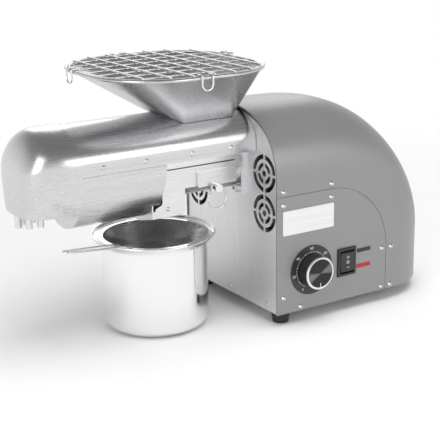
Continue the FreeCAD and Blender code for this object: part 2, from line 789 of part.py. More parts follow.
def make_upper_cover():
    shell = egg(cover_left, cover_right, 0.0).cut(egg(cover_left - 1.0, 1.0, cover_t))
    tools = [box(-300.0, 10.0, -80.0, 80.0, 100.0, cover_split + 0.3)]
    tools.append(funnel(0.7, base_z - 0.5, 262.0))
    mouth = Part.Face(rect_wire(base_x, base_half[0] + 0.7, base_half[1] + 0.7, 3.7, 205.0))
    tools.append(mouth.extrude(V(0, 0, base_z - 205.0)))
    for x in cover_screw_x:
        tools.append(along_y(screw_fit, -60.0, 60.0, x, cover_screw_z))
    return cut(shell, tools)


def make_lower_cover():
    shell = egg(cover_left, -105.0, 0.0).cut(egg(cover_left - 1.0, -100.0, cover_t))
    plate = egg(cover_left, cover_left + cover_t, 0.5)
    plate = cut(plate, [along_x(barrel_r + 1.0, -220.0, -200.0, 0.0, axis_z),
                        box(-220.0, -200.0, -29.0, 29.0, axis_z, 260.0)])
    body = join([shell, plate])
    slope = [(cover_end[0], 200.0), (cover_end[1], 160.0), (cover_end[0] - 0.7, 110.0),
             (-60.0, 110.0), (-60.0, 200.0)]
    tools = [box(-300.0, 10.0, -80.0, 80.0, cover_split - 0.3, 300.0)]
    tools.append(prism_y(slope, -80.0, 80.0))
    return cut(body, tools)


def make_cover_frame():
    x0 = cover_left + cover_t
    plate = egg(x0, x0 + 3.0, cover_t + 0.3)
    parts = [plate.cut(along_x(barrel_r + 0.05, -230.0, -190.0, 0.0, axis_z))]
    w = cover_w - cover_t
    holes = [along_y(screw_fit, -60.0, 60.0, x, cover_screw_z) for x in cover_screw_x]
    for s in (-1, 1):
        y0, y1 = sorted((s * (w - rail_t), s * w))
        front = box(x0 + 3.0, -118.5, y0, y1, cover_flat[0], cover_flat[1])
        back = box(-118.5, -2.0, y0, y1, 193.2, cover_flat[1])
        t0, t1 = sorted((s * 43.0, s * w))
        parts.append(cut(front, holes))
        parts.append(cut(back, holes))
        parts.append(box(-2.0, 0.0, t0, t1, 193.2, cover_flat[1]))
    return Part.makeCompound(parts)


def make_cover_screws():
    screw = pan_screw(4.6)
    out = []
    for x in cover_screw_x:
        out.append(placed(screw, (x, -cover_w, cover_screw_z), (0, -1, 0)))
        out.append(placed(screw, (x, cover_w, cover_screw_z), (0, 1, 0)))
    return Part.makeCompound(out)


def head_wire(u, inset):
    x = cover_left - (head_len - inset) * u
    w = (head_w - inset) * max(1.0 - u ** 1.6, 0.0) ** (1.0 / 4.3)
    top = 195.0 + (head_top - inset - 195.0) * max(1.0 - u ** 4.5, 0.0) ** 0.77
    flat = 190.0 + (top - 190.0) * 0.27
    low = head_cut - (5.0 if inset > 0 else 0.0)
    arch, a0, a1 = arch_curve(x, w, flat, top)
    z_lo = cover_flat[0]
    b = z_lo - cover_low
    pts = []
    for i in range(7):
        z = z_lo + (low - z_lo) * i / 6.0
        pts.append(V(x, w * math.sqrt(1.0 - ((z_lo - z) / b) ** 2), z))
    left = Part.BSplineCurve()
    left.interpolate([V(p.x, -p.y, p.z) for p in pts])
    right = Part.BSplineCurve()
    right.interpolate(list(reversed(pts)))
    edges = [arch, Part.makeLine(a1, V(x, -w, z_lo)), left.toShape()]
    edges.append(Part.makeLine(V(x, -pts[-1].y, low), V(x, pts[-1].y, low)))
    edges.append(right.toShape())
    edges.append(Part.makeLine(V(x, w, z_lo), a0))
    return Part.Wire(edges)


def head_solid(inset):
    stations = [0.0, 0.16, 0.32, 0.47, 0.6, 0.71, 0.8, 0.87, 0.925, 0.962, 0.983, 0.9935, 0.9985]
    return Part.makeLoft([head_wire(u, inset) for u in stations], True, False)


def post_spots():
    return [(-257.0, 0.0), (-249.0, 9.0), (-249.0, -9.0), (-237.0, 10.5), (-237.0, -10.5)]


def make_head():
    outer = head_solid(0.0)
    inner = head_solid(cover_t)
    shell = outer.cut(inner)
    x1 = cover_left
    lip_ring = outer.common(box(x1 - 2.0, x1, -80.0, 80.0, 100.0, 260.0))
    core = egg(x1 - 4.0, x1 + 1.0, 9.5)
    core = core.fuse(box(x1 - 4.0, x1 + 1.0, -33.0, 33.0, 140.0, 170.0))
    floor = outer.common(box(-300.0, x1 - 1.0, -80.0, 80.0, head_cut, head_cut + 1.5))
    head = shell.multiFuse([lip_ring.cut(core), floor])
    head = head.cut(box(-252.0, -230.0, -5.5, 5.5, 140.0, 156.0))
    posts = []
    for x, y in post_spots():
        tube = along_z(3.7, 137.0, head_cut, x, y)
        posts.append(tube.cut(along_z(2.6, 136.0, head_cut - 1.5, x, y)))
    return head, Part.makeCompound(posts)


def make_pin():
    y0 = -block_w - 3.0
    head_y = y0 - 8.6
    pin = join([along_y(4.4, head_y, y0, pin_x, pin_z), along_y(pin_r, y0 - 1.0, 30.0, pin_x, pin_z)])
    eye = along_x(2.15, pin_x - 10.0, pin_x + 10.0, y0 - 4.6, pin_z)
    pin = pin.cut(eye)
    ring = Part.makeTorus(ring_r, ring_wire, V(pin_x, y0 - 4.6, pin_z - 0.2 - ring_r), V(0, 1, 0))
    return pin, ring


def make_chute():
    x0, x1 = -123.0, -86.0
    t = 1.5
    z0 = 132.0
    low = 124.5
    top = block_z[0]
    w = block_w
    side = [(-109.2, top), (x1, top), (x1, z0), (x0, z0), (x0, 139.4), (-119.0, 140.2),
            (-119.0, 142.6), (-111.0, 145.9), (-111.0, 152.0)]
    parts = []
    for s in (-1, 1):
        y0, y1 = sorted((s * (w - t), s * w))
        parts.append(prism_y(side, y0, y1))
        parts.append(box(x1 - 0.5, x1 + 3.5, y0, y1, z0, top))
        run = [(s * w, z0), (s * w, z0 + 2.0), (s * 11.0, low + t), (s * 11.0, low)]
        parts.append(prism_x(run, x0, x1))
    parts.append(box(x0, x1, -11.5, 11.5, low, low + t))
    for x in (x0, x1 - t):
        z1 = 147.0 if x == x0 else top
        parts.append(box(x, x + t, -w + 0.5, w - 0.5, z0, z1))
        parts.append(prism_x([(-w + 0.5, z0), (w - 0.5, z0), (11.0, low), (-11.0, low)], x, x + t))
    chute = join(parts)
    tools = [along_x(sleeve_r + 0.4, -140.0, 0.0, 0.0, axis_z)]
    tools.append(egg(-130.0, cover_end[0] + 0.3, -0.3))
    tools.append(box(-112.0, -94.0, -8.0, 8.0, low - 1.0, low + 3.0))
    rivets = []
    for s in (-1, 1):
        tools.append(along_y(1.55, min(s * 30.0, s * 45.0), max(s * 30.0, s * 45.0), -104.0, 140.8))
        y = s * w
        dome = Part.makeSphere(2.4, V(-104.0, y, 140.8))
        dome = dome.common(box(-110.0, -98.0, min(y, y + s * 5.0), max(y, y + s * 5.0), 130.0, 150.0))
        stem = along_y(1.5, min(y, y - s * 3.0), max(y, y - s * 3.0), -104.0, 140.8)
        rivets.append(join([dome, stem]))
    return cut(chute, tools), Part.makeCompound(rivets)


# ------------------------------------------------------- the hopper and guard
def make_hopper():
    outer = join([funnel(0.0, base_z, hop_rim_z), throat(0.0)])
    inner = join([funnel(-1.5, base_z, hop_rim_z + 2.0), throat(-1.5)])
    drain = box(base_x - 20.5, base_x + 20.5, -20.5, 20.5, seat_z - 2.0, seat_z + 2.0)
    body = cut(outer, [inner, drain])
    path = rect_wire(hop_x, hop_half, hop_half, hop_corner, hop_rim_z)
    start = V(hop_x + hop_half, 0.0, hop_rim_z)
    circle = Part.Wire(Part.makeCircle(hop_rim_r, start, V(0, 1, 0)))
    rim = path.makePipeShell([circle], True, False)
    return join([body, rim])


def wire_bar(a, b):
    a = V(*a)
    b = V(*b)
    return Part.makeCylinder(wire_r, (b - a).Length, a, b - a)


def ring_reach(q, half, r):
    """Half-length of the rounded square at distance q from its middle line."""
    q = abs(q)
    if q <= half - r:
        return half
    return half - r + math.sqrt(max(r * r - (q - half + r) ** 2, 0.0))


def wire_arc(x, y, z, r, start, sweep):
    """Round wire bent about an upright axis at x, y."""
    section = Part.Face(Part.Wire(Part.makeCircle(wire_r, V(x + r, y, z), V(0, 1, 0))))
    section.rotate(V(x, y, z), V(0, 0, 1), start)
    return section.revolve(V(x, y, z), V(0, 0, 1), sweep)


def guard_ring(half, r, z):
    flat = half - r
    parts = []
    for s in (-1, 1):
        parts.append(wire_bar((hop_x - flat, s * half, z), (hop_x + flat, s * half, z)))
        parts.append(wire_bar((hop_x + s * half, -flat, z), (hop_x + s * half, flat, z)))
    corners = [(flat, flat, 0), (-flat, flat, 90), (-flat, -flat, 180), (flat, -flat, 270)]
    for x, y, start in corners:
        for part_turn in (0, 30, 60):
            parts.append(wire_arc(hop_x + x, y, z, r, start + part_turn, 30))
    return parts


def guard_clip(start, out, top):
    """One U of wire that reaches over the rim and hangs down outside it."""
    q = math.sqrt(0.5)
    b = clip_bend
    bow_z = clip_low + clip_half
    sides = []
    for s in (-1, 1):
        y = s * clip_half
        over = Part.makeLine(V(start, y, top), V(out - b, y, top))
        bend = Part.Arc(V(out - b, y, top), V(out - b + b * q, y, top - b + b * q), V(out, y, top - b))
        sides.append([over, bend.toShape(), Part.makeLine(V(out, y, top - b), V(out, y, bow_z))])
    bow = Part.Arc(V(out, -clip_half, bow_z), V(out, 0, clip_low), V(out, clip_half, bow_z))
    path = Part.Wire(sides[0] + [bow.toShape()] + sides[1][::-1])
    circle = Part.Wire(Part.makeCircle(wire_r, V(start, -clip_half, top), V(1, 0, 0)))
    return path.makePipeShell([circle], True, False)


def make_guard():
    top = hop_rim_z + hop_rim_r + wire_r + 0.05
    low = top - 2.0 * wire_r
    half = hop_half - hop_rim_r - wire_r - 0.6
    r = half - (hop_half - hop_corner)
    parts = guard_ring(half, r, low)
    for i in range(-3, 4):
        q = wire_pitch * i + wire_shift
        reach = ring_reach(q, half, r) + wire_out
        parts.append(wire_bar((hop_x + q, -reach, top), (hop_x + q, reach, top)))
        q = wire_pitch * i
        reach = ring_reach(abs(q) + wire_r, half - wire_r, r - wire_r)
        parts.append(wire_bar((hop_x - reach, q, low), (hop_x + reach, q, low)))
    clip = guard_clip(half - 1.2, hop_half + hop_rim_r + wire_r + 0.35, top)
    for turn, x, y in ((-90, clip_front, 0.0), (90, clip_front, 0.0), (180, hop_x, clip_side), (0, hop_x, clip_side)):
        one = clip.copy()
        one.rotate(V(0, 0, 0), V(0, 0, 1), turn)
        one.translate(V(x, y, 0))
        parts.append(one)
    return Part.makeCompound(parts)


# -------------------------------------------------------- oil cup and strainer
def make_cup():
    r, t = cup_r, cup_t
    k = math.sqrt(0.5)
    big, small = 14.0, 14.0 - t
    z = cup_ledge
    o = [V(0, 0, 0), V(r - big, 0, 0), V(r, 0, big), V(r, 0, z - 6.0), V(r + 1.6, 0, z - t),
         V(r + 6.6, 0, z - t), V(r + 9.4, 0, z + 2.6), V(r + 8.3, 0, z + 3.2),
         V(r + 6.0, 0, z), V(r - t, 0, z), V(r - t, 0, big), V(r - big, 0, t), V(0, 0, t)]
    edges = [Part.makeLine(o[0], o[1])]
    edges.append(Part.Arc(o[1], V(r - big + big * k, 0, big - big * k), o[2]).toShape())
    for i in range(2, 10):
        edges.append(Part.makeLine(o[i], o[i + 1]))
    edges.append(Part.Arc(o[10], V(r - big + small * k, 0, big - small * k), o[11]).toShape())
    edges.append(Part.makeLine(o[11], o[12]))
    edges.append(Part.makeLine(o[12], o[0]))
    cup = Part.Face(Part.Wire(edges)).revolve(V(0, 0, 0), V(0, 0, 1), 360)
    roll = Part.makeTorus(r + 8.9, 1.1, V(0, 0, z + 3.2))
    cup = join([cup, roll])
    cup.translate(V(cup_x, 0, 0))
    return cup


def bowl_solid(r, low, top):
    rim = V(r, 0, top)
    pole = V(0, 0, low)
    centre = V(0, 0, top)
    curve = Part.Arc(pole, V(r * 0.715, 0, low + (top - low) * 0.28), rim).toShape()
    wire = Part.Wire([curve, Part.makeLine(rim, centre), Part.makeLine(centre, pole)])
    return Part.Face(wire).revolve(V(0, 0, 0), V(0, 0, 1), 360)


def make_sieve():
    z = cup_ledge
    ring = along_z(64.2, z, z + 1.4, 0, 0).cut(along_z(56.0, z - 1.0, z + 3.0, 0, 0))
    hem = Part.makeTorus(62.6, 0.9, V(0, 0, z + 1.5))
    r = 1.2
    rise = math.tan(math.radians(12.5))
    parts = [ring, hem]
    for s in (-1, 1):
        pts = [V(58.0, s * 8.5, z + 2.5), V(64.6, s * 8.2, z + 4.0), V(67.5, s * 8.0, z + 6.3)]
        pts.append(V(161.0, s * 5.0, z + 6.3 + 93.5 * rise))
        for a, b in zip(pts[:-1], pts[1:]):
            parts.append(Part.makeCylinder(r, (b - a).Length, a, b - a))
        for p in pts[1:-1]:
            parts.append(Part.makeSphere(r, p))
    loop = Part.makeTorus(5.0, r, V(0, 0, 0))
    loop = loop.common(box(0.0, 10.0, -10.0, 10.0, -5.0, 5.0))
    loop.rotate(V(0, 0, 0), V(0, 1, 0), -12.5)
    loop.translate(V(161.0, 0, z + 6.3 + 93.5 * rise))
    parts.append(loop)
    frame = join(parts)
    frame.rotate(V(0, 0, 0), V(0, 0, 1), 210)
    frame.translate(V(cup_x, 0, 0))
    bowl = bowl_solid(56.2, 60.0, z + 0.7).cut(bowl_solid(55.6, 60.6, z + 0.8))
    bowl = bowl.cut(ring)
    bowl.translate(V(cup_x, 0, 0))
    return frame, bowl


def main():
    os.makedirs("parts", exist_ok=True)
    save("shell_cover", make_shell())
    save("side_panel_near", side_panel(-1))
    save("side_panel_far", side_panel(1))
    save("side_frame_near", side_frame(-1))
    save("side_frame_far", side_frame(1))
    save("face_plate", make_face())
    save("base_tray", make_tray())
    feet, foot_screws = make_feet()
    save("feet", feet)
    save("foot_screws", foot_screws)
    save("housing_screws", make_housing_screws())
    save("nameplate", make_nameplate())
    save("dial_plate", make_dial())
    save("potentiometer", make_pot())
    knob, cap, stem = make_knob()
    save("knob_body", knob)
    save("knob_cap", cap)
    save("knob_shaft", stem)
    housing, rocker = make_switch()
    save("switch_housing", housing)
    save("switch_rocker", rocker)
    save("switch_labels", make_labels())
    save("cable_gland", make_gland())
    case, lid = make_gearbox()
    save("gearbox_case", case)
    save("gearbox_lid", lid)
    stand, bolts = make_stand()
    save("gearbox_stand", stand)
    save("stand_bolts", bolts)
    big, small = make_gears()
    save("output_gear", big)
    save("motor_pinion", small)
    save("output_shaft", make_shaft())
    save("shaft_bearings", make_bearings())
    can, bell, rotor = make_motor()
    save("motor_can", can)
    save("motor_endbell", bell)
    save("motor_rotor", rotor)
    board, fins, bits = make_board()
    save("control_board", board)
    save("heat_sink", fins)
    save("board_parts", bits)
    for s, side in ((-1, "near"), (1, "far")):
        frame, fan = make_fan(s)
        save("fan_frame_" + side, frame)
        save("fan_rotor_" + side, fan)
    save("press_holder", make_holder())
    save("flange_bolts", make_flange_bolts())
    save("press_barrel", make_barrel())
    save("auger", make_auger())
    save("die_nut", make_die_nut())
    save("heater_band", make_heater())
    save("upper_cover", make_upper_cover())
    save("lower_cover", make_lower_cover())
    save("cover_frame", make_cover_frame())
    save("cover_screws", make_cover_screws())
    head, posts = make_head()
    save("head_cap", head)
    save("outlet_posts", posts)
    pin, ring = make_pin()
    save("lock_pin", pin)
    save("pull_ring", ring)
    chute, rivets = make_chute()
    save("oil_chute", chute)
    save("chute_rivets", rivets)
    save("hopper", make_hopper())
    save("hopper_guard", make_guard())
    save("oil_cup", make_cup())
    frame, bowl = make_sieve()
    save("sieve_frame", frame)
    save("sieve_mesh", bowl)


main()
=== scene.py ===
import bpy
import math
from mathutils import Matrix, Vector


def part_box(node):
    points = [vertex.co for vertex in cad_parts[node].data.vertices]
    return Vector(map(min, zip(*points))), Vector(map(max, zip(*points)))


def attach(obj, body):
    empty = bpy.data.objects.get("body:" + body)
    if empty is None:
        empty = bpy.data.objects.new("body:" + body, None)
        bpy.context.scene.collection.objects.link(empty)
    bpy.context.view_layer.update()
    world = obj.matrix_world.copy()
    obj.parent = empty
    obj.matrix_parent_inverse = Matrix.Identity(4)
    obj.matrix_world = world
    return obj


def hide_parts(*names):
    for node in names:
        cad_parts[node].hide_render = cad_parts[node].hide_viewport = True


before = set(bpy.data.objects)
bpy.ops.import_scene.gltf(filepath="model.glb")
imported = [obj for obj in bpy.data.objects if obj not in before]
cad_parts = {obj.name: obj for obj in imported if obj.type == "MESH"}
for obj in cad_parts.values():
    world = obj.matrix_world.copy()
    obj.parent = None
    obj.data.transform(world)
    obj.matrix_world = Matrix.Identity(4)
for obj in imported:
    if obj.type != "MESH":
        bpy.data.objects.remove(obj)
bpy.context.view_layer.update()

bpy.ops.object.select_all(action="DESELECT")
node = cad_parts

# The place the press stands on: a wide pale floor under plain soft lamps, in
# front of a white surround. None of it belongs to the machine.
bpy.ops.mesh.primitive_plane_add(size=14.0, location=(0, 0, -0.0006))
floor = bpy.context.object
floor.name = "pale_floor"


class Sock:
    """One shader socket; sums and products of sockets add Math nodes."""

    def __init__(self, tree, sock):
        self.tree = tree
        self.sock = sock

    def maths(self, kind, *args):
        return make(self.tree, "Math", {"operation": kind}, list(args))

    def __add__(self, other):
        return self.maths("ADD", self, other)

    __radd__ = __add__

    def __sub__(self, other):
        return self.maths("SUBTRACT", self, other)

    def __rsub__(self, other):
        return self.maths("SUBTRACT", other, self)

    def __mul__(self, other):
        return self.maths("MULTIPLY", self, other)

    __rmul__ = __mul__

    def between(self, low, high):
        """0 below low, 1 above high, a smooth step in between."""
        return make(self.tree, "MapRange", {"interpolation_type": "SMOOTHSTEP"},
                    {"Value": self, "From Min": low, "From Max": high})


def make(tree, kind, settings=None, values=None, out=0):
    """Adds one node: first its settings, then the values or links of its sockets."""
    item = tree.nodes.new("ShaderNode" + kind)
    for key, value in (settings or {}).items():
        if key == "stops":
            ramp = item.color_ramp
            while len(ramp.elements) < len(value):
                ramp.elements.new(0.5)
            for stop, (place, colour) in zip(ramp.elements, value):
                stop.position = place
                stop.color = colour
        else:
            setattr(item, key, value)
    pairs = values.items() if isinstance(values, dict) else enumerate(values or [])
    for key, value in pairs:
        if isinstance(value, Sock):
            tree.links.new(value.sock, item.inputs[key])
        elif value is not None:
            item.inputs[key].default_value = value
    return Sock(tree, item.outputs[out]) if item.outputs else None


def new_material(name):
    mat = bpy.data.materials.new(name)
    mat.use_nodes = True
    tree = mat.node_tree
    tree.nodes.clear()
    return mat, tree


def shade(tree, **values):
    """Principled shader to the surface output, with sockets given by name."""
    named = {key.replace("_", " "): value for key, value in values.items()}
    body = make(tree, "BsdfPrincipled", {}, named)
    make(tree, "OutputMaterial", {}, {"Surface": body})


def blended(tree, mask, low, high):
    """Colour that goes from low to high as the mask goes from 0 to 1."""
    return make(tree, "Mix", {"data_type": "RGBA"}, {0: mask, 6: low, 7: high}, out=2)


def grey(value):
    return (value, value, value, 1.0)


def spread(tree, stretch, detail=2.0, rough=0.5):
    """Noise over the object, finer where the stretch is larger (per metre)."""
    place = make(tree, "TexCoord", {}, {}, out=3)
    place = make(tree, "Mapping", {}, {"Vector": place, "Scale": stretch})
    return make(tree, "TexNoise", {}, {"Vector": place, "Scale": 1.0, "Detail": detail,
                                       "Roughness": rough})


def dress(names, mat):
    for name in names:
        slots = node[name].data.materials
        slots.clear()
        slots.append(mat)


# ---- the casing -----------------------------------------------------------
# Drawn hood and side panels in satin grey lacquer with fine metal flake; the
# seam between them stays open by half a millimetre.
def lacquer(name, colour, rough, flake):
    mat, tree = new_material(name)
    fine = spread(tree, (flake, flake, flake), 1.0)
    wide = spread(tree, (9.0, 9.0, 9.0))
    bump = make(tree, "Bump", {}, {"Strength": 0.12, "Distance": 0.00002, "Height": fine})
    tone = blended(tree, fine.between(0.3, 0.7), grey(colour * 0.93), grey(colour * 1.07))
    shade(tree, Base_Color=tone, Metallic=0.55, Roughness=wide * 0.06 + rough, Coat_Weight=0.12,
          Coat_Roughness=0.25, Normal=bump)
    return mat


dress(["shell_cover", "side_panel_near", "side_panel_far"],
      lacquer("grey_lacquer", 0.30, 0.36, 2600.0))


# Sheet steel parts: one way of making brushed metal, with the direction of the
# strokes set by how far the noise is drawn out along each axis.
def brushed(name, colour, rough, strokes, depth=0.000002, cloud=0.05):
    mat, tree = new_material(name)
    stroke = spread(tree, strokes, 3.0, 0.6)
    wide = spread(tree, (7.0, 7.0, 7.0))
    bump = make(tree, "Bump", {}, {"Strength": 0.04, "Distance": depth, "Height": stroke})
    lows = tuple(v * 0.93 for v in colour) + (1.0,)
    tops = tuple(min(v * 1.05, 1.0) for v in colour) + (1.0,)
    tone = blended(tree, stroke.between(0.25, 0.75), lows, tops)
    shade(tree, Base_Color=tone, Metallic=1.0, Roughness=stroke * 0.1 + wide * cloud + rough - 0.05,
          Normal=bump)
    return mat


# Front plate: light brushed steel, stroked upright, with the three vents.
dress(["face_plate"], brushed("face_brushed", (0.80, 0.80, 0.81), 0.42, (60.0, 1400.0, 5.0)))

# Tray, frames and folded strips inside: plain zinc sheet with a faint spangle.
mat, tree = new_material("zinc_sheet")
cells = spread(tree, (160.0, 160.0, 160.0), 4.0)
tone = blended(tree, cells.between(0.35, 0.65), grey(0.52), grey(0.66))
shade(tree, Base_Color=tone, Metallic=1.0, Roughness=cells * 0.25 + 0.28)
dress(["base_tray", "side_frame_near", "side_frame_far", "cover_frame", "gearbox_stand",
       "motor_can"], mat)

# Feet and gland: black rubber and moulded nylon.
def moulded(name, colour, rough, grain, coat=0.0):
    mat, tree = new_material(name)
    fine = spread(tree, (grain, grain, grain), 2.0)
    bump = make(tree, "Bump", {}, {"Strength": 0.3, "Distance": 0.00004, "Height": fine})
    tops = tuple(min(v * 1.25 + 0.004, 1.0) for v in colour) + (1.0,)
    tone = blended(tree, fine, tuple(colour) + (1.0,), tops)
    shade(tree, Base_Color=tone, Roughness=fine * 0.12 + rough, Coat_Weight=coat, Normal=bump)
    return mat


dress(["feet"], moulded("foot_rubber", (0.018, 0.018, 0.019), 0.62, 900.0))
dress(["cable_gland"], moulded("gland_nylon", (0.020, 0.020, 0.022), 0.42, 700.0))

# Screws, bolts and rivets: bright plated steel, turned, a little uneven.
mat = brushed("plated_screws", (0.74, 0.74, 0.75), 0.24, (900.0, 900.0, 900.0))
dress(["foot_screws", "housing_screws", "cover_screws", "stand_bolts", "flange_bolts",
       "chute_rivets"], mat)

# Bare plate riveted to the near panel: light satin aluminium.
dress(["nameplate"], brushed("plate_aluminium", (0.86, 0.86, 0.86), 0.46, (5.0, 900.0, 900.0)))

# ---- the drive inside --------------------------------------------------------
# Ground gears, shafts, auger and barrel in darker tool steel; cast cases.
mat = brushed("ground_steel", (0.42, 0.42, 0.43), 0.30, (1300.0, 90.0, 90.0))
dress(["output_gear", "motor_pinion", "output_shaft", "shaft_bearings", "motor_rotor", "auger",
       "press_barrel", "die_nut", "knob_shaft"], mat)

mat, tree = new_material("cast_alloy")
grain = spread(tree, (1100.0, 1100.0, 1100.0), 3.0)
bump = make(tree, "Bump", {}, {"Strength": 0.5, "Distance": 0.00008, "Height": grain})
tone = blended(tree, grain, grey(0.42), grey(0.56))
shade(tree, Base_Color=tone, Metallic=0.9, Roughness=grain * 0.2 + 0.42, Normal=bump)
dress(["gearbox_case", "gearbox_lid", "motor_endbell", "heat_sink"], mat)

# Control board: green solder mask over a fine weave, with its black parts.
mat, tree = new_material("board_green")
weave = spread(tree, (1500.0, 300.0, 1500.0), 2.0)
tone = blended(tree, weave, (0.012, 0.10, 0.035, 1.0), (0.02, 0.16, 0.06, 1.0))
shade(tree, Base_Color=tone, Roughness=weave * 0.15 + 0.3, Coat_Weight=0.3)
dress(["control_board"], mat)
dress(["board_parts", "potentiometer"], moulded("part_black", (0.022, 0.022, 0.024), 0.45, 1200.0))
dress(["fan_frame_near", "fan_frame_far", "fan_rotor_near", "fan_rotor_far"],
      moulded("fan_black", (0.024, 0.024, 0.026), 0.5, 800.0))

# Heating band round the barrel: mica board in brown, faintly layered.
dress(["heater_band"], moulded("mica_band", (0.22, 0.17, 0.11), 0.55, 500.0))

# ---- the press head ------------------------------------------------------------
# Covers, hopper, chute and holder: stainless sheet, brushed along its length.
steel = (0.66, 0.66, 0.67)
dress(["upper_cover", "lower_cover", "head_cap"],
      brushed("cover_steel", steel, 0.24, (4.0, 260.0, 900.0)))
dress(["press_holder", "oil_chute", "outlet_posts"],
      brushed("holder_steel", (0.76, 0.76, 0.77), 0.30, (40.0, 700.0, 700.0)))

# Feed hopper: pressed from sheet with straight sides, a rolled rim and strokes
# that run down from the rim to the throat.
dress(["hopper"], brushed("hopper_steel", (0.60, 0.60, 0.61), 0.26, (420.0, 420.0, 5.0)))

# Polished pieces: guard wires, locking pin, pull ring, cup and strainer frame.
def polished(name, colour, rough):
    mat, tree = new_material(name)
    fine = spread(tree, (500.0, 500.0, 30.0), 2.0)
    wide = spread(tree, (14.0, 14.0, 14.0))
    tone = blended(tree, wide, grey(colour * 0.95), grey(min(colour * 1.03, 1.0)))
    shade(tree, Base_Color=tone, Metallic=1.0, Roughness=fine * 0.03 + wide * 0.04 + rough)
    return mat


dress(["oil_cup"], polished("cup_polish", 0.90, 0.07))
dress(["hopper_guard", "lock_pin", "pull_ring", "sieve_frame"], polished("wire_polish", 0.84, 0.13))

# ---- the controls ---------------------------------------------------------------
# Dial: black film with a plain scale, printed white: dots, each fifth one
# larger, and six numbers, made as thin meshes on the film.
dress(["dial_plate"], moulded("dial_film", (0.020, 0.020, 0.022), 0.34, 300.0, 0.2))
mat, tree = new_material("print_white")
fleck = spread(tree, (2500.0, 2500.0, 2500.0), 2.0)
tone = blended(tree, fleck, grey(0.74), grey(0.84))
shade(tree, Base_Color=tone, Roughness=fleck * 0.1 + 0.45)
white_print = mat


def finish_mesh(thing, name, body, mat):
    """Puts a piece's place into its mesh, names it and lets it ride on a body."""
    bpy.ops.object.select_all(action="DESELECT")
    thing.select_set(True)
    bpy.context.view_layer.objects.active = thing
    bpy.ops.object.transform_apply(location=True, rotation=True, scale=True)
    thing.name = name
    thing.data.name = name
    thing.data.materials.clear()
    thing.data.materials.append(mat)
    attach(thing, body)


def merge(things):
    bpy.ops.object.select_all(action="DESELECT")
    for thing in things:
        thing.select_set(True)
    bpy.context.view_layer.objects.active = things[0]
    bpy.ops.object.join()
    return bpy.context.object


def letter(text, size, place, turn):
    bpy.ops.object.select_all(action="DESELECT")
    bpy.ops.object.text_add(location=place, rotation=turn)
    words = bpy.context.object
    words.data.body = text
    words.data.size = size
    words.data.align_x = "CENTER"
    words.data.align_y = "CENTER"
    words.data.extrude = 0.00003
    words.data.resolution_u = 3
    bpy.ops.object.convert(target="MESH")
    return bpy.context.object


def dot(radius, depth, place):
    bpy.ops.object.select_all(action="DESELECT")
    bpy.ops.mesh.primitive_cylinder_add(vertices=16, radius=radius, depth=depth, location=place,
                                        rotation=(math.pi / 2, 0, 0))
    return bpy.context.object


def bar(size, place):
    bpy.ops.object.select_all(action="DESELECT")
    bpy.ops.mesh.primitive_cube_add(size=1.0, location=place)
    piece = bpy.context.object
    piece.scale = size
    return piece


low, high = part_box("dial_plate")
mid_x = (low.x + high.x) / 2
mid_z = (low.z + high.z) / 2
face_y = low.y - 0.00002
scale = []
scale_start = 210.0
dot_step = 5.0
number_step = 50.0
dot_reach = 0.0205
number_reach = 0.0246
number_size = 0.0046
print_depth = 0.00006


def on_dial(degrees, reach):
    """Point on the dial's face, clockwise from the top."""
    angle = math.radians(degrees)
    return (mid_x + reach * math.sin(angle), face_y, mid_z + reach * math.cos(angle))


for i in range(51):
    size = 0.00042 if i % 5 else 0.00062
    scale.append(dot(size, print_depth, on_dial(scale_start + dot_step * i, dot_reach)))
for i in range(6):
    place = on_dial(scale_start + number_step * i, number_reach)
    scale.append(letter(str(20 * i), number_size, place, (math.pi / 2, 0, 0)))
finish_mesh(merge(scale), "dial_scale", "machine", white_print)

# Knob: black moulded body with a ribbed skirt, a cap of spun dark metal with a painted
# highlight in two opposite bright sectors, and a white line on its edge that points at the scale.
dress(["knob_body"], moulded("knob_black", (0.016, 0.016, 0.017), 0.4, 900.0))
low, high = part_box("knob_cap")
knob_x = (low.x + high.x) / 2
knob_z = (low.z + high.z) / 2
mat, tree = new_material("spun_cap_painted_glint")
place = make(tree, "TexCoord", {}, {}, out=3)
parts = tree.nodes.new("ShaderNodeSeparateXYZ")
tree.links.new(place.sock, parts.inputs[0])
dx = Sock(tree, parts.outputs[0]) - knob_x
dz = Sock(tree, parts.outputs[2]) - knob_z
square = dx * dx + dz * dz
radius = square.maths("SQRT", square)
turn = make(tree, "Math", {"operation": "ARCTAN2"}, [dz, dx])
# Painted highlight: two opposite sectors of the cap are painted lighter, standing in for the
# reflection that spun metal shows.
fan = make(tree, "Math", {"operation": "COSINE"}, [turn * 2.0 - 0.5])
painted_glint = fan.between(0.55, 1.0)
groove = make(tree, "Math", {"operation": "SINE"}, [radius * 9000.0])
edge = radius.between(0.0160, 0.0163)
tone = blended(tree, painted_glint, grey(0.045), grey(0.20))
tone = blended(tree, edge, tone, grey(0.85))
bump = make(tree, "Bump", {}, {"Strength": 0.2, "Distance": 0.00002, "Height": groove})
shade(tree, Base_Color=tone, Metallic=1.0, Roughness=groove * 0.03 + 0.3, Normal=bump)
dress(["knob_cap"], mat)
pointer = bar((0.0009, 0.0001, 0.0050), (knob_x, low.y - 0.00002, knob_z - 0.0136))
finish_mesh(pointer, "knob_pointer", "speed_knob", white_print)

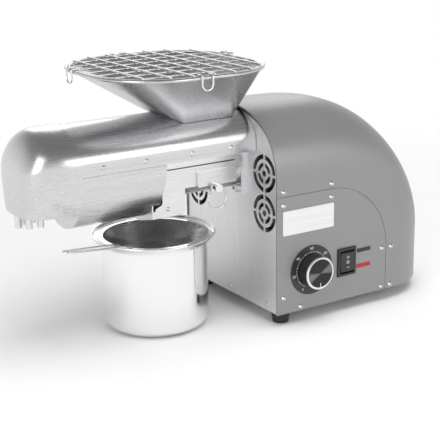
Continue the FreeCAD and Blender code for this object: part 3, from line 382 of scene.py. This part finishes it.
# Rocker switch: black bezel and rocker with plain marks for off and the two
# directions; bare coloured patches beside it.
dress(["switch_housing"], moulded("switch_black", (0.017, 0.017, 0.018), 0.36, 600.0, 0.1))
dress(["switch_rocker"], moulded("rocker_black", (0.012, 0.012, 0.013), 0.3, 500.0, 0.2))
mat, tree = new_material("patch_film")
place = make(tree, "TexCoord", {}, {}, out=3)
parts = tree.nodes.new("ShaderNodeSeparateXYZ")
tree.links.new(place.sock, parts.inputs[0])
low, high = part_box("switch_labels")
label_z = (low.z + high.z) / 2
upper = Sock(tree, parts.outputs[2]).between(label_z - 0.001, label_z + 0.001)
fine = spread(tree, (700.0, 700.0, 700.0))
tone = blended(tree, upper, (0.50, 0.012, 0.016, 1.0), grey(0.025))
shade(tree, Base_Color=tone, Roughness=fine * 0.1 + 0.32)
dress(["switch_labels"], mat)
low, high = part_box("switch_rocker")
marks = []
rock_x = (low.x + high.x) / 2
rock_z = (low.z + high.z) / 2
for drop in (0.0068, 0.0050, -0.0062):
    marks.append(bar((0.0034, 0.00008, 0.00055), (rock_x, low.y - 0.00001, rock_z + drop)))
bpy.ops.object.select_all(action="DESELECT")
ring_thick = 0.0003
bpy.ops.mesh.primitive_torus_add(major_radius=0.0016, minor_radius=ring_thick, major_segments=32,
                                 minor_segments=8, location=(rock_x, low.y + ring_thick, rock_z),
                                 rotation=(math.pi / 2, 0, 0))
marks.append(bpy.context.object)
finish_mesh(merge(marks), "rocker_marks", "power_rocker", white_print)

# ---- the strainer ------------------------------------------------------------------
# Woven wire bowl: a square net drawn down onto a round cap, its outer wires
# caught under the flat rim; every thread gets a thickness.
low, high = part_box("sieve_mesh")
bowl_x = (low.x + high.x) / 2
bowl_r = (high.x - low.x) / 2
deep = high.z - low.z
ball = (bowl_r * bowl_r + deep * deep) / (2.0 * deep)
hem_z = high.z - 0.0002
bpy.ops.mesh.primitive_uv_sphere_add(segments=96, ring_count=96, radius=ball,
                                     location=(bowl_x, 0, low.z + ball))
cap = bpy.context.object
bpy.ops.object.mode_set(mode="EDIT")
bpy.ops.mesh.select_all(action="SELECT")
bpy.ops.mesh.bisect(plane_co=(bowl_x, 0, hem_z), plane_no=(0, 0, 1), clear_outer=True)
bpy.ops.object.mode_set(mode="OBJECT")
pitch = 0.0019
count = int(bowl_r / pitch) + 1
span = 2 * count * pitch
bpy.ops.mesh.primitive_grid_add(x_subdivisions=2 * count, y_subdivisions=2 * count, size=span,
                                location=(bowl_x, 0, hem_z))
net = bpy.context.object
for vertex in net.data.vertices:
    vertex.select = vertex.co.to_2d().length > bowl_r + pitch * 0.6
for edge_line in net.data.edges:
    edge_line.select = False
for side in net.data.polygons:
    side.select = False
bpy.ops.object.mode_set(mode="EDIT")
bpy.ops.mesh.select_mode(type="VERT")
bpy.ops.mesh.delete(type="VERT")
bpy.ops.object.mode_set(mode="OBJECT")
drop = net.modifiers.new("drop", "SHRINKWRAP")
drop.target = cap
drop.wrap_method = "PROJECT"
drop.use_project_z = True
drop.use_negative_direction = True
drop.use_positive_direction = False
bpy.ops.object.modifier_apply(modifier="drop")
catch = net.modifiers.new("catch", "SHRINKWRAP")
catch.target = cap
catch.wrap_method = "NEAREST_SURFACEPOINT"
bpy.ops.object.modifier_apply(modifier="catch")
threads = net.modifiers.new("threads", "WIREFRAME")
threads.thickness = 0.00055
threads.use_even_offset = True
threads.use_boundary = True
bpy.ops.object.modifier_apply(modifier="threads")
bpy.data.objects.remove(cap)
mat = brushed("woven_wire", (0.50, 0.50, 0.51), 0.30, (900.0, 900.0, 900.0))
finish_mesh(net, "strainer_net", "sieve", mat)
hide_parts("sieve_mesh")

# ---- the surround ------------------------------------------------------------------
# Floor finish, white world, soft lamps and the camera.
mat, tree = new_material("pale_floor_paint")
soft = spread(tree, (3.0, 3.0, 3.0))
paint = make(tree, "BsdfDiffuse", {}, {"Color": blended(tree, soft, grey(0.86), grey(0.9))})
glow = make(tree, "Emission", {}, {"Color": grey(1.0), "Strength": 1.0})
path = make(tree, "LightPath", {}, {}, out=0)
place = make(tree, "TexCoord", {}, {}, out=3)
far = make(tree, "VectorMath", {"operation": "LENGTH"}, {0: place}, out=1)
fade = far.between(0.2, 1.1)
mixed = make(tree, "MixShader", {}, {0: fade, 1: paint, 2: glow})
make(tree, "OutputMaterial", {}, {"Surface": mixed})
floor.data.materials.append(mat)

bpy.context.scene.view_settings.view_transform = "Standard"
world = bpy.data.worlds.new("surround")
bpy.context.scene.world = world
world.use_nodes = True
tree = world.node_tree
tree.nodes.clear()
rays = tree.nodes.new("ShaderNodeLightPath")
seen = Sock(tree, rays.outputs["Is Camera Ray"])
mirrored = Sock(tree, rays.outputs["Is Glossy Ray"])
way = make(tree, "TexCoord", {}, {}, out=0)
up = tree.nodes.new("ShaderNodeSeparateXYZ")
tree.links.new(way.sock, up.inputs[0])
height = Sock(tree, up.outputs[2])
sky = make(tree, "ValToRGB", {"stops": [(0.0, grey(0.9)), (0.5, grey(0.95)), (0.66, grey(0.62)),
                                        (0.80, grey(0.30)), (1.0, grey(0.22))]},
           {0: height * 0.5 + 0.5})
dim = make(tree, "Background", {}, {"Color": grey(0.85), "Strength": 0.42})
room = make(tree, "Background", {}, {"Color": sky, "Strength": 1.0})
white = make(tree, "Background", {}, {"Color": grey(1.0), "Strength": 1.0})
lit = make(tree, "MixShader", {}, {0: mirrored, 1: dim, 2: room})
lit = make(tree, "MixShader", {}, {0: seen, 1: lit, 2: white})
make(tree, "OutputWorld", {}, {"Surface": lit})


def soft_lamp(name, place, aim, size, power, mirrored_too=True):
    lamp = bpy.data.lights.new(name, "AREA")
    lamp.shape = "RECTANGLE"
    lamp.size = size[0]
    lamp.size_y = size[1]
    lamp.energy = power
    holder = bpy.data.objects.new(name, lamp)
    bpy.context.scene.collection.objects.link(holder)
    direction = Vector(aim) - Vector(place)
    turn = direction.to_track_quat("-Z", "Y").to_matrix().to_4x4()
    holder.matrix_world = Matrix.Translation(Vector(place)) @ turn
    holder.visible_glossy = mirrored_too


soft_lamp("lamp_over", (0.1, -0.35, 1.7), (0.0, 0.0, 0.1), (1.6, 1.2), 22.0, False)
soft_lamp("lamp_left", (-1.7, -0.7, 0.9), (-0.1, 0.0, 0.12), (0.9, 1.5), 10.0)
soft_lamp("lamp_near", (0.5, -1.9, 0.9), (0.0, 0.0, 0.12), (1.3, 0.9), 9.0)
soft_lamp("lamp_rear", (0.8, 1.7, 1.1), (0.0, 0.0, 0.12), (1.5, 1.0), 7.0)

camera = bpy.data.cameras.new("camera")
camera.lens = 36.0 * 1117.95 / 440.0
camera.sensor_width = 36.0
camera.clip_end = 50.0
eye = bpy.data.objects.new("camera", camera)
bpy.context.scene.collection.objects.link(eye)
azimuth = math.radians(-32.25)
elevation = math.radians(16.48)
roll = math.radians(-0.96)
back = Vector((math.sin(azimuth) * math.cos(elevation), -math.cos(azimuth) * math.cos(elevation),
               math.sin(elevation)))
right = Vector((math.cos(azimuth), math.sin(azimuth), 0.0))
above = back.cross(right)
turned = Matrix((right, above, back)).transposed().to_4x4() @ Matrix.Rotation(roll, 4, "Z")
eye.matrix_world = Matrix.Translation((-0.65362, -1.03298, 0.46476)) @ turned
bpy.context.scene.camera = eye
